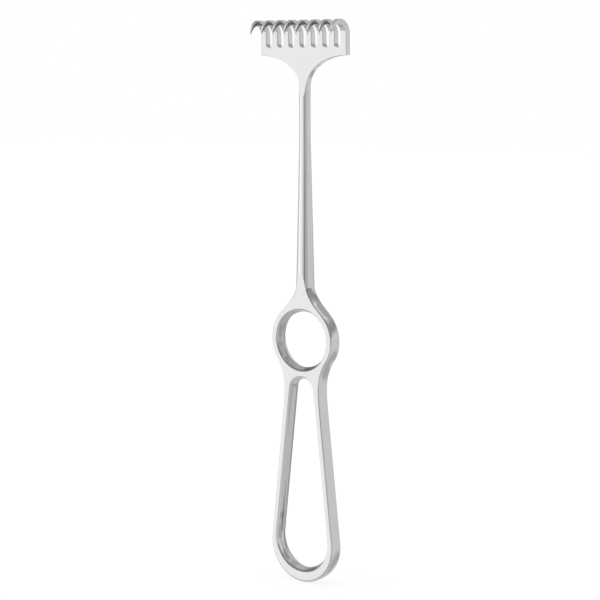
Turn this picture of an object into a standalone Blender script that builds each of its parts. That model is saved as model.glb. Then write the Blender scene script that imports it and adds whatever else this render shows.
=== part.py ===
"""Rake retractor with eight sharp prongs, a finger ring and a loop handle.

The instrument stands upright: +Z runs from the loop to the prongs, the prongs
hook towards -Y and X runs across the rake. The forging is parted into named
sections with a narrow gap between neighbours. Lengths are in metres.
"""
import math

import bmesh
import bpy
import numpy as np
from mathutils import Vector

# Overall sizes
OVERALL_LENGTH = 0.220
SECTION_GAP = 0.0003

# Flat part of the handle, common to the loop and the ring
HANDLE_THICKNESS = 0.0059
HANDLE_EDGE_WIDTH = 0.0005
HANDLE_EDGE_DEPTH = 0.0005
HANDLE_SIDE_BULGE = 0.00015
OPENING_WALL_BULGE = 0.0010

# Finger ring
RING_CENTRE_HEIGHT = 0.0970
RING_OUTER_RADIUS = 0.01465
RING_BAND = 0.00375
RING_FLANK_ANGLE = 45.0
RING_FLANK_BLEND_RADIUS = 0.0114

# Handle loop
LOOP_END_RADIUS = 0.01515
LOOP_LEG_TOP_BELOW_RING_CENTRE = 0.02265
LOOP_LEG_BLEND_RADIUS = 0.060
LOOP_SIDE_BAND = 0.00375
LOOP_END_BAND = 0.00565
LOOP_WAIST_BAND = 0.0040
BRIDGE_THICKNESS = 0.0047
WAIST_HALF_WIDTH = 0.0087
WAIST_BLEND_RADIUS = 0.0172

# Shaft
SHAFT_DIAMETER_RING = 0.0070
SHAFT_DIAMETER_NECK = 0.0044
SHAFT_TAPER_START_ABOVE_RING = 0.0073
SHAFT_STRAIGHT_LENGTH = 0.0312
RING_FLAT_LENGTH = 0.0010
RING_FLAT_RUN_OUT = 0.0090

# Rake plate and neck
RAKE_HEIGHT = 0.0134
PLATE_HALF_WIDTH = 0.0203
PLATE_THICKNESS = 0.0027
PLATE_EDGE = 0.0003
SHOULDER_HEIGHT = 0.0112
NECK_FLAT_END_DROP = 0.0033
NECK_FLAT_RUN_OUT = 0.0120

# Prongs and slots
PRONG_COUNT = 8
PRONG_WIDTH = 0.0027
SLOT_FLOOR_HEIGHT = 0.0030
PRONG_BEND_RADIUS = 0.0046
PRONG_BEND_ANGLE = 178.0
PRONG_CROWN_THICKNESS = 0.0021
PRONG_TIP_SIZE = 0.00016
PRONG_TAPER_POWER = 2.0
PRONG_CORNER_SHARE = 0.35

# Parting planes between the sections
SHAFT_NECK_CUT_DROP = 0.0158
NECK_PLATE_CUT_DROP = 0.0025
PRONG_CUT_ABOVE_SLOT_END = 0.0005

# Mesh fineness
CORNER_STEPS = 2
END_POINT_CLEARANCE = 0.0004
ARC_STEP_DEGREES = 9.0
SHOULDER_STEPS = 12
SHAFT_ROWS = 14
NECK_ROWS = 12
PRONG_BEND_ROWS = 12

# Radii and heights that follow from the sizes above
RING_HOLE_RADIUS = RING_OUTER_RADIUS - RING_BAND
LOOP_OPENING_RADIUS = LOOP_END_RADIUS - LOOP_SIDE_BAND
LOOP_ARCH_RADIUS = WAIST_HALF_WIDTH - LOOP_WAIST_BAND
HOLE_BOTTOM_Z = RING_CENTRE_HEIGHT - RING_HOLE_RADIUS
LOOP_ARCH_TOP_Z = HOLE_BOTTOM_Z - BRIDGE_THICKNESS
LOOP_RING_CUT_Z = HOLE_BOTTOM_Z - BRIDGE_THICKNESS / 2
LOOP_LEG_TOP_Z = RING_CENTRE_HEIGHT - LOOP_LEG_TOP_BELOW_RING_CENTRE
RING_TOP_Z = RING_CENTRE_HEIGHT + RING_OUTER_RADIUS
SHAFT_TAPER_START_Z = RING_TOP_Z + SHAFT_TAPER_START_ABOVE_RING
SHAFT_FLAT_START_Z = RING_TOP_Z + RING_FLAT_LENGTH
SHAFT_FLAT_END_Z = SHAFT_FLAT_START_Z + RING_FLAT_RUN_OUT
PLATE_BOTTOM_Z = OVERALL_LENGTH - RAKE_HEIGHT
SHAFT_TAPER_END_Z = PLATE_BOTTOM_Z - SHAFT_STRAIGHT_LENGTH
NECK_FLAT_END_Z = PLATE_BOTTOM_Z - NECK_FLAT_END_DROP
NECK_FLAT_START_Z = NECK_FLAT_END_Z - NECK_FLAT_RUN_OUT
SHAFT_NECK_CUT_Z = PLATE_BOTTOM_Z - SHAFT_NECK_CUT_DROP
NECK_PLATE_CUT_Z = PLATE_BOTTOM_Z - NECK_PLATE_CUT_DROP
SLOT_BOTTOM_Z = PLATE_BOTTOM_Z + SLOT_FLOOR_HEIGHT

STEEL_COLOUR = (0.78, 0.79, 0.80, 1.0)
STEEL_ROUGHNESS = 0.32


def clear_scene():
    """Remove every object of the start-up scene."""
    for item in list(bpy.data.objects):
        bpy.data.objects.remove(item, do_unlink=True)


def steel(name):
    """Return a new satin stainless-steel material."""
    material = bpy.data.materials.new(name)
    material.use_nodes = True
    shader = material.node_tree.nodes["Principled BSDF"]
    shader.inputs["Base Color"].default_value = STEEL_COLOUR
    shader.inputs["Roughness"].default_value = STEEL_ROUGHNESS
    shader.inputs["Metallic"].default_value = 1.0
    return material


def arc(centre, radius, start, end):
    """Return points of an arc, angles in degrees, both ends included."""
    steps = max(2, math.ceil(abs(end - start) / ARC_STEP_DEGREES))
    angles = np.radians(np.linspace(start, end, steps + 1))
    xs = centre[0] + radius * np.cos(angles)
    zs = centre[1] + radius * np.sin(angles)
    return list(zip(xs, zs))


def rounded_corner(before, corner, after, radius):
    """Return the arc that rounds a corner, shrunk where its sides are short."""
    before, corner, after = Vector(before), Vector(corner), Vector(after)
    to_before = before - corner
    to_after = after - corner
    half = to_before.angle(to_after) / 2
    reach = min(radius / math.tan(half), 0.9 * to_before.length, 0.9 * to_after.length)
    radius = reach * math.tan(half)
    bisector = (to_before.normalized() + to_after.normalized()).normalized()
    centre = corner + bisector * radius / math.sin(half)
    first = corner + to_before.normalized() * reach - centre
    last = corner + to_after.normalized() * reach - centre
    start = math.degrees(math.atan2(first.y, first.x))
    turn = math.degrees(math.atan2(first.cross(last), first.dot(last)))
    return arc(tuple(centre), radius, start, start + turn)


def tangent_angle(point, centre_z, radius):
    """Angle on a circle on the axis where the right-hand tangent from a point above touches."""
    offset = Vector((point[0], point[1] - centre_z))
    bearing = math.atan2(offset.y, offset.x)
    return math.degrees(bearing - math.acos(radius / offset.length))


def shaft_radius(z):
    """Radius of the round shaft at a height."""
    heights = (SHAFT_TAPER_START_Z, SHAFT_TAPER_END_Z)
    radii = (SHAFT_DIAMETER_RING / 2, SHAFT_DIAMETER_NECK / 2)
    return float(np.interp(z, heights, radii))


def leg_outline():
    """Right outer edge of the loop, from the bottom to the waist."""
    top = (WAIST_HALF_WIDTH, LOOP_LEG_TOP_Z)
    touch = tangent_angle(top, LOOP_END_RADIUS, LOOP_END_RADIUS)
    end = arc((0.0, LOOP_END_RADIUS), LOOP_END_RADIUS, -90.0, touch)
    blend = waist_blend()
    return end + rounded_corner(end[-1], top, blend[0], LOOP_LEG_BLEND_RADIUS) + blend


def waist_blend():
    """Concave arc from the waist out to the ring."""
    reach = RING_OUTER_RADIUS + WAIST_BLEND_RADIUS
    centre_x = WAIST_HALF_WIDTH + WAIST_BLEND_RADIUS
    drop = math.sqrt(reach ** 2 - centre_x ** 2)
    centre = (centre_x, RING_CENTRE_HEIGHT - drop)
    return arc(centre, WAIST_BLEND_RADIUS, 180.0, math.degrees(math.atan2(drop, -centre_x)))


def ring_outline():
    """Right outer edge of the ring, from the waist blend to the shaft."""
    touch = waist_blend()[-1]
    start = math.degrees(math.atan2(touch[1] - RING_CENTRE_HEIGHT, touch[0]))
    end = arc((0.0, RING_CENTRE_HEIGHT), RING_OUTER_RADIUS, start, RING_FLANK_ANGLE)
    leave = end[-1]
    side = SHAFT_DIAMETER_RING / 2
    rise = (leave[0] - side) * math.tan(math.radians(90.0 - RING_FLANK_ANGLE))
    corner = (side, leave[1] + rise)
    above = (side, corner[1] + RING_FLANK_BLEND_RADIUS)
    return end + rounded_corner(leave, corner, above, RING_FLANK_BLEND_RADIUS)


def shoulder_outline():
    """Right edge from the round shaft out to the lower corner of the plate."""
    side = SHAFT_DIAMETER_NECK / 2
    reach = PLATE_HALF_WIDTH - side
    base = PLATE_BOTTOM_Z - SHOULDER_HEIGHT
    angles = np.linspace(0.0, math.pi / 2, SHOULDER_STEPS + 1)
    xs = PLATE_HALF_WIDTH - reach * np.cos(angles)
    zs = base + SHOULDER_HEIGHT * np.sin(angles)
    return list(zip(xs, zs))


def half_width(z):
    """Half width of the shaft or neck at a height."""
    path = ring_outline() if z < SHAFT_TAPER_END_Z else shoulder_outline()
    if z > path[0][1] and z < path[-1][1]:
        return float(np.interp(z, [p[1] for p in path], [p[0] for p in path]))
    return shaft_radius(z)


def clip(path, low, high):
    """Part of a rising outline between two heights, with exact ends and none too near them."""
    zs = np.array([p[1] for p in path])
    xs = np.array([p[0] for p in path])
    inside = [(x, z) for x, z in path if low + END_POINT_CLEARANCE < z < high - END_POINT_CLEARANCE]
    first = (float(np.interp(low, zs, xs)), low)
    last = (float(np.interp(high, zs, xs)), high)
    return [first] + inside + [last]


def mirrored(path):
    """Mirror an outline in X and reverse its order."""
    return [(-x, z) for x, z in reversed(path)]


def smooth_step(value, low, high):
    """Ease from 0 to 1 between two heights."""
    share = min(1.0, max(0.0, (value - low) / (high - low)))
    return share * share * (3.0 - 2.0 * share)


def edge_profile(half_depth, width, depth, bulge):
    """Rim profile from front to back: rows of inset from the outline and Y."""
    front = []
    for step in range(CORNER_STEPS + 1):
        angle = math.radians(90.0 * step / CORNER_STEPS)
        inset = bulge + width * (1.0 - math.sin(angle))
        front.append((inset, -half_depth + depth * (1.0 - math.cos(angle))))
    back = [(inset, -y) for inset, y in reversed(front)]
    return front + [(0.0, 0.0)] + back


def inset_vectors(loop, flat_edges):
    """Inward vector of each outline point for an inset of one; flat edges keep their line."""
    count = len(loop)
    points = [Vector(p) for p in loop]
    vectors = []
    for index in range(count):
        before, here, after = points[index - 1], points[index], points[(index + 1) % count]
        first = (here - before).normalized()
        second = (after - here).normalized()
        first_inset = 0.0 if (index - 1) % count in flat_edges else 1.0
        second_inset = 0.0 if index in flat_edges else 1.0
        vectors.append(miter(first, second, first_inset, second_inset))
    return vectors


def miter(first, second, first_inset, second_inset):
    """Solve for the vector that lies the given distances inside two edges."""
    normal_a = Vector((-first.y, first.x))
    normal_b = Vector((-second.y, second.x))
    cross = normal_a.cross(normal_b)
    if abs(cross) < 0.02:
        return (normal_a + normal_b).normalized() * max(first_inset, second_inset)
    x = (first_inset * normal_b.y - second_inset * normal_a.y) / cross
    y = (second_inset * normal_a.x - first_inset * normal_b.x) / cross
    return Vector((x, y))


def add_rim(bm, loop, flat_edges, profile):
    """Add the rim faces of one outline and return its front and back edge loops."""
    vectors = inset_vectors(loop, flat_edges)
    rows = []
    for inset, y in profile:
        moved = [(x + v.x * inset, y, z + v.y * inset) for (x, z), v in zip(loop, vectors)]
        rows.append([bm.verts.new(p) for p in moved])
    count = len(loop)
    for upper, lower in zip(rows, rows[1:]):
        for index in range(count):
            following = (index + 1) % count
            bm.faces.new((upper[index], upper[following], lower[following], lower[index]))
    return closed_edges(bm, rows[0]), closed_edges(bm, rows[-1])


def closed_edges(bm, row):
    """Edges around a closed row of vertices."""
    pairs = zip(row, row[1:] + row[:1])
    return [bm.edges.get(pair) or bm.edges.new(pair) for pair in pairs]


def flat_solid(loops):
    """Closed body from an outer outline and any openings, each with its rim profile."""
    bm = bmesh.new()
    front, back = [], []
    for loop, flat_edges, profile in loops:
        front_edges, back_edges = add_rim(bm, loop, flat_edges, profile)
        front += front_edges
        back += back_edges
    bmesh.ops.triangle_fill(bm, use_beauty=True, use_dissolve=False, edges=front)
    bmesh.ops.triangle_fill(bm, use_beauty=True, use_dissolve=False, edges=back)
    return bm


def lofted_solid(rows):
    """Closed body through rows of equally many points, with end caps."""
    bm = bmesh.new()
    rings = [[bm.verts.new(point) for point in row] for row in rows]
    count = len(rings[0])
    for lower, upper in zip(rings, rings[1:]):
        for index in range(count):
            following = (index + 1) % count
            bm.faces.new((lower[index], lower[following], upper[following], upper[index]))
    bm.faces.new(reversed(rings[0]))
    bm.faces.new(rings[-1])
    return bm


def make_node(name, bm, origin, frame):
    """Turn a mesh into a named object with its own origin and steel material."""
    bmesh.ops.recalc_face_normals(bm, faces=bm.faces)
    open_edges = [edge for edge in bm.edges if len(edge.link_faces) != 2]
    if open_edges:
        raise RuntimeError(f"{name} is not closed: {len(open_edges)} open edges")
    bmesh.ops.translate(bm, verts=bm.verts, vec=-Vector(origin))
    mesh = bpy.data.meshes.new(name)
    bm.to_mesh(mesh)
    bm.free()
    mesh.shade_smooth()
    mesh.set_sharp_from_angle(angle=math.radians(35.0))
    node = bpy.data.objects.new(name, mesh)
    bpy.context.collection.objects.link(node)
    node.location = origin
    node.parent = frame
    mesh.materials.append(steel(name + "_steel"))
    return node


def handle_profile(bulge):
    """Rim profile of the flat handle, with the bulge of its side wall."""
    return edge_profile(HANDLE_THICKNESS / 2, HANDLE_EDGE_WIDTH, HANDLE_EDGE_DEPTH, bulge)


def loop_opening():
    """Teardrop opening of the loop, listed clockwise so that metal lies to its left."""
    low_z = LOOP_END_BAND + LOOP_OPENING_RADIUS
    high_z = LOOP_ARCH_TOP_Z - LOOP_ARCH_RADIUS
    lean = math.degrees(math.asin((LOOP_OPENING_RADIUS - LOOP_ARCH_RADIUS) / (high_z - low_z)))
    low = arc((0.0, low_z), LOOP_OPENING_RADIUS, -90.0, lean)
    high = arc((0.0, high_z), LOOP_ARCH_RADIUS, lean, 90.0)
    right = low + high
    return list(reversed(right + mirrored(right)[1:-1]))


def build_loop(frame):
    """Handle loop up to the parting plane in the waist."""
    right = clip(leg_outline()[1:], leg_outline()[1][1], LOOP_RING_CUT_Z - SECTION_GAP / 2)
    bottom = [(0.0, 0.0)]
    outline = bottom + right + mirrored(right)
    outer = (outline, {len(right)}, handle_profile(HANDLE_SIDE_BULGE))
    opening = (loop_opening(), set(), handle_profile(OPENING_WALL_BULGE))
    return make_node("handle_loop", flat_solid([outer, opening]), (0.0, 0.0, 0.0), frame)


def build_ring(frame):
    """Finger ring between the waist and the shaft."""
    path = waist_blend() + ring_outline()[1:]
    right = clip(path, LOOP_RING_CUT_Z + SECTION_GAP / 2, RING_TOP_Z - SECTION_GAP / 2)
    outline = right + mirrored(right)
    hole = list(reversed(arc((0.0, RING_CENTRE_HEIGHT), RING_HOLE_RADIUS, 0.0, 360.0)[:-1]))
    cuts = {len(right) - 1, len(outline) - 1}
    outer = (outline, cuts, handle_profile(HANDLE_SIDE_BULGE))
    opening = (hole, set(), handle_profile(OPENING_WALL_BULGE))
    body = flat_solid([outer, opening])
    return make_node("finger_ring", body, (0.0, 0.0, RING_CENTRE_HEIGHT), frame)


def section_row(z, half_depth, width, depth, bulge):
    """Closed row of points of one cross-section of the shaft or neck."""
    side = half_width(z)
    profile = edge_profile(half_depth, width, depth, bulge)
    right = [(side - inset, y, z) for inset, y in profile]
    left = [(-x, y, z) for x, y, z in reversed(right)]
    return right + left


def shaft_row(z):
    """Cross-section from the flat ring end to the round shaft."""
    round_share = smooth_step(z, SHAFT_FLAT_START_Z, SHAFT_FLAT_END_Z)
    side = half_width(z)
    flat = (HANDLE_THICKNESS / 2, HANDLE_EDGE_WIDTH, HANDLE_EDGE_DEPTH, HANDLE_SIDE_BULGE)
    return section_row(z, *blended(flat, side, round_share))


def neck_row(z):
    """Cross-section from the round shaft to the flat rake plate."""
    round_share = 1.0 - smooth_step(z, NECK_FLAT_START_Z, NECK_FLAT_END_Z)
    flat = (PLATE_THICKNESS / 2, PLATE_EDGE, PLATE_EDGE, 0.0)
    return section_row(z, *blended(flat, SHAFT_DIAMETER_NECK / 2, round_share))


def blended(flat, radius, share):
    """Blend flat section sizes with those of a round bar of a given radius."""
    rounded = (radius, 0.96 * radius, radius, 0.0)
    return [a + (b - a) * share for a, b in zip(flat, rounded)]


def build_shaft(frame):
    """Tapered round shaft with its flat lower end."""
    low = RING_TOP_Z + SECTION_GAP / 2
    high = SHAFT_NECK_CUT_Z - SECTION_GAP / 2
    dense = np.linspace(low, SHAFT_FLAT_END_Z, SHAFT_ROWS)
    sparse = np.linspace(SHAFT_FLAT_END_Z, high, 6)[1:]
    rows = [shaft_row(z) for z in [*dense, *sparse]]
    return make_node("shaft", lofted_solid(rows), (0.0, 0.0, low), frame)


def build_neck(frame):
    """Flared neck between the shaft and the rake plate."""
    low = SHAFT_NECK_CUT_Z + SECTION_GAP / 2
    high = NECK_PLATE_CUT_Z - SECTION_GAP / 2
    rows = [neck_row(z) for z in np.linspace(low, high, NECK_ROWS)]
    return make_node("neck", lofted_solid(rows), (0.0, 0.0, low), frame)


def prong_pitch():
    """Distance between neighbouring prongs."""
    return (2 * PLATE_HALF_WIDTH - PRONG_WIDTH) / (PRONG_COUNT - 1)


def prong_centres():
    """X positions of the prongs from left to right."""
    first = -PLATE_HALF_WIDTH + PRONG_WIDTH / 2
    return [first + index * prong_pitch() for index in range(PRONG_COUNT)]


def slot_radius():
    """Half width of a slot, also the radius of its rounded end."""
    return (prong_pitch() - PRONG_WIDTH) / 2


def prong_cut():
    """Height of the parting plane between plate and prongs."""
    return SLOT_BOTTOM_Z + slot_radius() + PRONG_CUT_ABOVE_SLOT_END


def comb_outline(top):
    """Upper edge of the plate from right to left, with its rounded slots."""
    radius = slot_radius()
    points, cuts = [], set()
    for centre in reversed(prong_centres()):
        cuts.add(len(points))
        points += [(centre + PRONG_WIDTH / 2, top), (centre - PRONG_WIDTH / 2, top)]
        if centre > prong_centres()[0]:
            middle = centre - prong_pitch() / 2
            points += arc((middle, SLOT_BOTTOM_Z + radius), radius, 0.0, -180.0)
    return points, cuts


def build_plate(frame):
    """Rake plate with slots, up to the roots of the prongs."""
    low = NECK_PLATE_CUT_Z + SECTION_GAP / 2
    right = clip(shoulder_outline(), low, PLATE_BOTTOM_Z)
    comb, cuts = comb_outline(prong_cut() - SECTION_GAP / 2)
    outline = right + comb + mirrored(right)
    flat_edges = {len(right) + index for index in cuts}
    flat_edges.add(len(outline) - 1)
    profile = edge_profile(PLATE_THICKNESS / 2, PLATE_EDGE, PLATE_EDGE, 0.0)
    body = flat_solid([(outline, flat_edges, profile)])
    return make_node("rake_plate", body, (0.0, 0.0, low), frame)


def prong_section(half_across, half_through):
    """Rounded rectangle of a prong as points across and through the prong."""
    corner = PRONG_CORNER_SHARE
    flat = 1.0 - corner
    points = []
    for sign_a, sign_b, start in ((1, -1, -90), (1, 1, 0), (-1, 1, 90), (-1, -1, 180)):
        for angle in (0.0, 45.0, 90.0):
            turn = math.radians(start + angle)
            across = sign_a * flat + corner * math.cos(turn)
            through = sign_b * flat + corner * math.sin(turn)
            points.append((across * half_across, through * half_through))
    return points


def prong_row(share, bend_z):
    """Cross-section of a prong at a share of its bend, 0 at the root and 1 at the tip."""
    turn = math.radians(PRONG_BEND_ANGLE * share)
    taper = share ** PRONG_TAPER_POWER
    half_across = (PRONG_WIDTH + (PRONG_TIP_SIZE - PRONG_WIDTH) * taper) / 2
    full = PLATE_THICKNESS + (PRONG_CROWN_THICKNESS - PLATE_THICKNESS) * min(1.0, 2 * share)
    falling = min(1.0, 2.0 - 2 * share) ** 0.8
    half_through = (PRONG_TIP_SIZE + (full - PRONG_TIP_SIZE) * falling) / 2
    outward = Vector((0.0, math.cos(turn), math.sin(turn)))
    centre = Vector((0.0, -PRONG_BEND_RADIUS, bend_z)) + outward * PRONG_BEND_RADIUS
    section = prong_section(half_across, half_through)
    return [centre + Vector((across, 0.0, 0.0)) + outward * through for across, through in section]


def build_prong(index, centre, frame):
    """One sharp prong, hooked forwards and down."""
    low = prong_cut() + SECTION_GAP / 2
    bend_z = OVERALL_LENGTH - PRONG_BEND_RADIUS - PRONG_CROWN_THICKNESS / 2
    root = [point - Vector((0.0, 0.0, bend_z - low)) for point in prong_row(0.0, bend_z)]
    shares = np.linspace(0.0, 1.0, PRONG_BEND_ROWS + 1)
    bm = lofted_solid([root] + [prong_row(share, bend_z) for share in shares])
    node = make_node(f"prong_{index}", bm, (0.0, 0.0, low), frame)
    node.location.x = centre
    return node


def centre_front_to_back(frame, nodes):
    """Move the frame so that the object's box is centred on Y = 0."""
    ys = [node.location.y + vertex.co.y for node in nodes for vertex in node.data.vertices]
    frame.location.y = -(min(ys) + max(ys)) / 2


def main():
    """Build every section of the retractor."""
    clear_scene()
    frame = bpy.data.objects.new("mid_plane", None)
    bpy.context.collection.objects.link(frame)
    nodes = [build_loop(frame), build_ring(frame), build_shaft(frame)]
    nodes += [build_neck(frame), build_plate(frame)]
    for index, centre in enumerate(prong_centres(), start=1):
        nodes.append(build_prong(index, centre, frame))
    centre_front_to_back(frame, nodes)


main()
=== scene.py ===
import math
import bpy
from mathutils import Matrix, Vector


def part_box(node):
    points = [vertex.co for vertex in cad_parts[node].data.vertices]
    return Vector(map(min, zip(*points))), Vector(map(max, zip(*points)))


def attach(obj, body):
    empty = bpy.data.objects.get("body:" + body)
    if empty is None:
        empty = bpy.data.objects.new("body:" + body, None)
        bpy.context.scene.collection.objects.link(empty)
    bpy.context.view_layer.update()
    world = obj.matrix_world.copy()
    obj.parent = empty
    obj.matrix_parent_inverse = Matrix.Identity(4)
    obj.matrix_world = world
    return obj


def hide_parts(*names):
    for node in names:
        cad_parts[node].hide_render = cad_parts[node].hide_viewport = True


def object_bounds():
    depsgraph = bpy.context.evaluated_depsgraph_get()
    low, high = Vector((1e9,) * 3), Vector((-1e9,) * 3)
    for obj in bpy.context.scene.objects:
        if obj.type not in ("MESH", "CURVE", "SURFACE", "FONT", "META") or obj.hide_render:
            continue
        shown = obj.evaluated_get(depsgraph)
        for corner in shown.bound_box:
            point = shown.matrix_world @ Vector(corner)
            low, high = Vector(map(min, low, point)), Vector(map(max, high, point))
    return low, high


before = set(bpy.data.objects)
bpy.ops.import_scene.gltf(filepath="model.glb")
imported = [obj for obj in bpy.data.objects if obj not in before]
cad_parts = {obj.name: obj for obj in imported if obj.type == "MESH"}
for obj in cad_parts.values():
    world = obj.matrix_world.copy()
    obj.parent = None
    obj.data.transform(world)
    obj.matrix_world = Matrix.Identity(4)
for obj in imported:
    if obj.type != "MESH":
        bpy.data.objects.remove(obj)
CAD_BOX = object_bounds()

from types import SimpleNamespace

import bmesh
import bpy
import numpy as np
from bpy.props import FloatProperty, FloatVectorProperty, IntProperty, PointerProperty
from mathutils import Matrix, Vector

bl_info = {
    "name": "Rake Retractor",
    "version": (1, 0, 0),
    "blender": (4, 5, 0),
    "location": "3D View > Sidebar > Retractor",
    "description": "Builds a surgical rake retractor of satin steel and its studio",
    "category": "Add Mesh",
}

MID_PLANE = (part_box("handle_loop")[0].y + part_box("handle_loop")[1].y) / 2
OVERALL_LENGTH = CAD_BOX[1].z


def length(name, description, default, low=0.0):
    """A size or a place in metres."""
    return FloatProperty(name=name, description=description, default=default, min=low,
                         unit="LENGTH", precision=5)


def amount(name, description, default, low=0.0, high=1.0):
    """A plain number between two limits."""
    return FloatProperty(name=name, description=description, default=default, min=low, max=high,
                         precision=4)


def turn(name, description, degrees):
    """An angle, given here in degrees and shown as one."""
    return FloatProperty(name=name, description=description, default=math.radians(degrees),
                         subtype="ANGLE", unit="ROTATION")


def tint(name, description, default):
    """A colour."""
    return FloatVectorProperty(name=name, description=description, default=default,
                               subtype="COLOR", min=0.0, max=1.0)


class HandleSizes(bpy.types.PropertyGroup):
    """Sizes of the flat handle: the loop and the finger ring."""

    thickness: length("Thickness", "Handle from front to back", 0.0059)
    edge: length("Edge radius", "Rounding between the flat faces and the openings", 0.0006)
    outer_edge: length("Outer edge radius", "Rounding between the flat faces and the outer sides", 0.00085)
    side_bulge: length("Side bulge", "How far the outer side wall swells at mid-depth", 0.00015)
    wall_bulge: length("Opening bulge", "How far the walls of the openings swell at mid-depth", 0.0010)
    ring_height: length("Ring height", "Centre of the ring above the lowest point", 0.0970)
    ring_radius: length("Ring radius", "Outer radius of the ring", 0.01465)
    hole_radius: length("Hole radius", "Radius of the ring's opening at mid-depth", 0.0109)
    flank_angle: turn("Flank angle", "Where the ring's edge leaves its circle for the shaft", 45.0)
    flank_blend: length("Flank blend", "Radius between ring and shaft", 0.0114)
    end_radius: length("End radius", "Outer radius of the loop's lower end", 0.01515)
    leg_length: length("Leg length", "Height of the loop's legs above the end's centre", 0.0592)
    leg_blend: length("Leg blend", "Radius where the legs meet the waist", 0.060)
    opening_radius: length("Opening radius", "Lower radius of the loop's opening at mid-depth", 0.0114)
    end_band: length("End band", "Metal under the loop's opening at mid-depth", 0.00565)
    arch_radius: length("Arch radius", "Upper radius of the loop's opening", 0.0047)
    bridge: length("Bridge", "Metal between the two openings at mid-depth", 0.0047)
    waist: length("Waist", "Half width of the waist", 0.0087)
    waist_blend: length("Waist blend", "Radius between waist and ring", 0.0172)


class ShaftSizes(bpy.types.PropertyGroup):
    """Sizes of the round shaft."""

    ring_diameter: length("Lower diameter", "Shaft diameter above the ring", 0.0070)
    neck_diameter: length("Upper diameter", "Shaft diameter below the rake", 0.0044)
    taper_start: length("Taper start", "Start of the taper above the ring", 0.0073)
    straight: length("Straight part", "Untapered shaft below the rake plate", 0.0312)
    flank_flat: length("Flank flat", "Height over which the flat handle turns round", 0.0058)
    ring_run_out: length("Ring run-out", "Length of the flats that run out on the shaft", 0.0059)
    neck_run_out: length("Neck run-out", "Length of the flats that run out below the plate", 0.0084)
    neck_drop: length("Neck drop", "Top of the round shaft below the rake plate", 0.0160)


class RakeSizes(bpy.types.PropertyGroup):
    """Sizes of the rake plate and its prongs."""

    height: length("Rake height", "Rake from the plate's lower corners to the crowns", 0.0134)
    half_width: length("Half width", "Half of the plate's width", 0.0203)
    thickness: length("Thickness", "Plate thickness", 0.0027)
    edge: length("Edge radius", "Rounding of the plate's edges", 0.00024)
    shoulder: length("Shoulder height", "Height of the concave shoulders", 0.0112)
    prongs: IntProperty(name="Prongs", description="Number of prongs", default=8, min=2, max=16)
    prong_width: length("Prong width", "Width of a prong at its root", 0.0027)
    slot_floor: length("Slot floor", "Bottom of the slots above the plate's lower corners", 0.0030)
    bend_radius: length("Bend radius", "Radius of the prongs' bend at mid-thickness", 0.0046)
    bend_angle: turn("Bend angle", "How far the prongs turn over", 178.0)
    crown: length("Crown thickness", "Prong thickness at the top of the bend", 0.0021)
    tip: length("Tip size", "Size of the sharp tip", 0.00012)
    taper: amount("Taper power", "How late the prongs narrow to the tip", 2.0, 1.0, 6.0)
    root_lift: length("Root lift", "Root of the prongs above the slots' round ends", 0.0005)


class SteelFinish(bpy.types.PropertyGroup):
    """Finish of the steel."""

    colour: tint("Colour", "Colour of the steel", (0.80, 0.80, 0.80))
    roughness: amount("Roughness", "Roughness of the satin faces", 0.14)
    wall_roughness: amount("Wall roughness", "Roughness of the polished walls and the shaft", 0.07)
    # Painted shade: brightness of the steel's colour where shade is painted into it
    painted_shade_level: amount("Painted shade", "Brightness of the coarsely ground places beside the steel", 0.40)
    grain: length("Grain", "Spacing of the fine brush marks", 0.00022)
    grain_depth: length("Grain depth", "Depth of the fine brush marks", 0.000004)


class StudioSettings(bpy.types.PropertyGroup):
    """The camera and the light."""

    azimuth: turn("Azimuth", "Camera to the right of the front", 37.05)
    elevation: turn("Elevation", "Camera above the horizon", 7.8)
    roll: turn("Roll", "Camera's turn about its own axis", -0.19)
    distance: length("Distance", "Camera to the point looked at", 0.6716)
    look_x: length("Look at X", "Point looked at, across", -0.00267, -1.0)
    look_z: length("Look at Z", "Point looked at, height", 0.11227)
    focal: FloatProperty(name="Focal length", description="Lens in millimetres for a 36 mm sensor",
                         default=103.41, min=1.0, unit="CAMERA")
    floor: tint("Floor", "Colour of the floor", (0.93, 0.93, 0.93))


def settings():
    """The sidebar's settings of the current scene."""
    scene = bpy.context.scene
    return SimpleNamespace(
        handle=scene.retractor_handle,
        shaft=scene.retractor_shaft,
        rake=scene.retractor_rake,
        finish=scene.retractor_finish,
        studio=scene.retractor_studio)


# Outlines in the X-Z plane

# Degrees between the points of an arc
ARC_STEP = 3.0
RING_STEP = 1.5
ARCH_STEP = 5.0
SLOT_STEP = 10.0
FEWEST_STEPS = 6

LEG_POINTS = 24
SHOULDER_POINTS = 46

# Most of a side that a rounded corner may use
CORNER_REACH = 0.9

# The neck's loft meets the flat plate this far below the plate's lower corners
PLATE_CUT_DROP = 0.0022

# Heights closer than this are one
SAME_HEIGHT = 1e-5


def arc(centre, radius, start, end, step=ARC_STEP):
    """Points of an arc, angles in degrees, both ends included."""
    count = max(FEWEST_STEPS, math.ceil(abs(end - start) / step))
    angles = np.radians(np.linspace(start, end, count + 1))
    return list(zip(centre[0] + radius * np.cos(angles), centre[1] + radius * np.sin(angles)))


def rounded_corner(before, corner, after, radius):
    """The arc that rounds a corner, shrunk where its sides are short."""
    before, corner, after = Vector(before), Vector(corner), Vector(after)
    to_before, to_after = before - corner, after - corner
    half = to_before.angle(to_after) / 2
    reach = min(radius / math.tan(half), CORNER_REACH * to_before.length, CORNER_REACH * to_after.length)
    radius = reach * math.tan(half)
    bisector = (to_before.normalized() + to_after.normalized()).normalized()
    centre = corner + bisector * radius / math.sin(half)
    first = corner + to_before.normalized() * reach - centre
    last = corner + to_after.normalized() * reach - centre
    start = math.degrees(math.atan2(first.y, first.x))
    swing = math.degrees(math.atan2(first.cross(last), first.dot(last)))
    return arc(tuple(centre), radius, start, start + swing)


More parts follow.
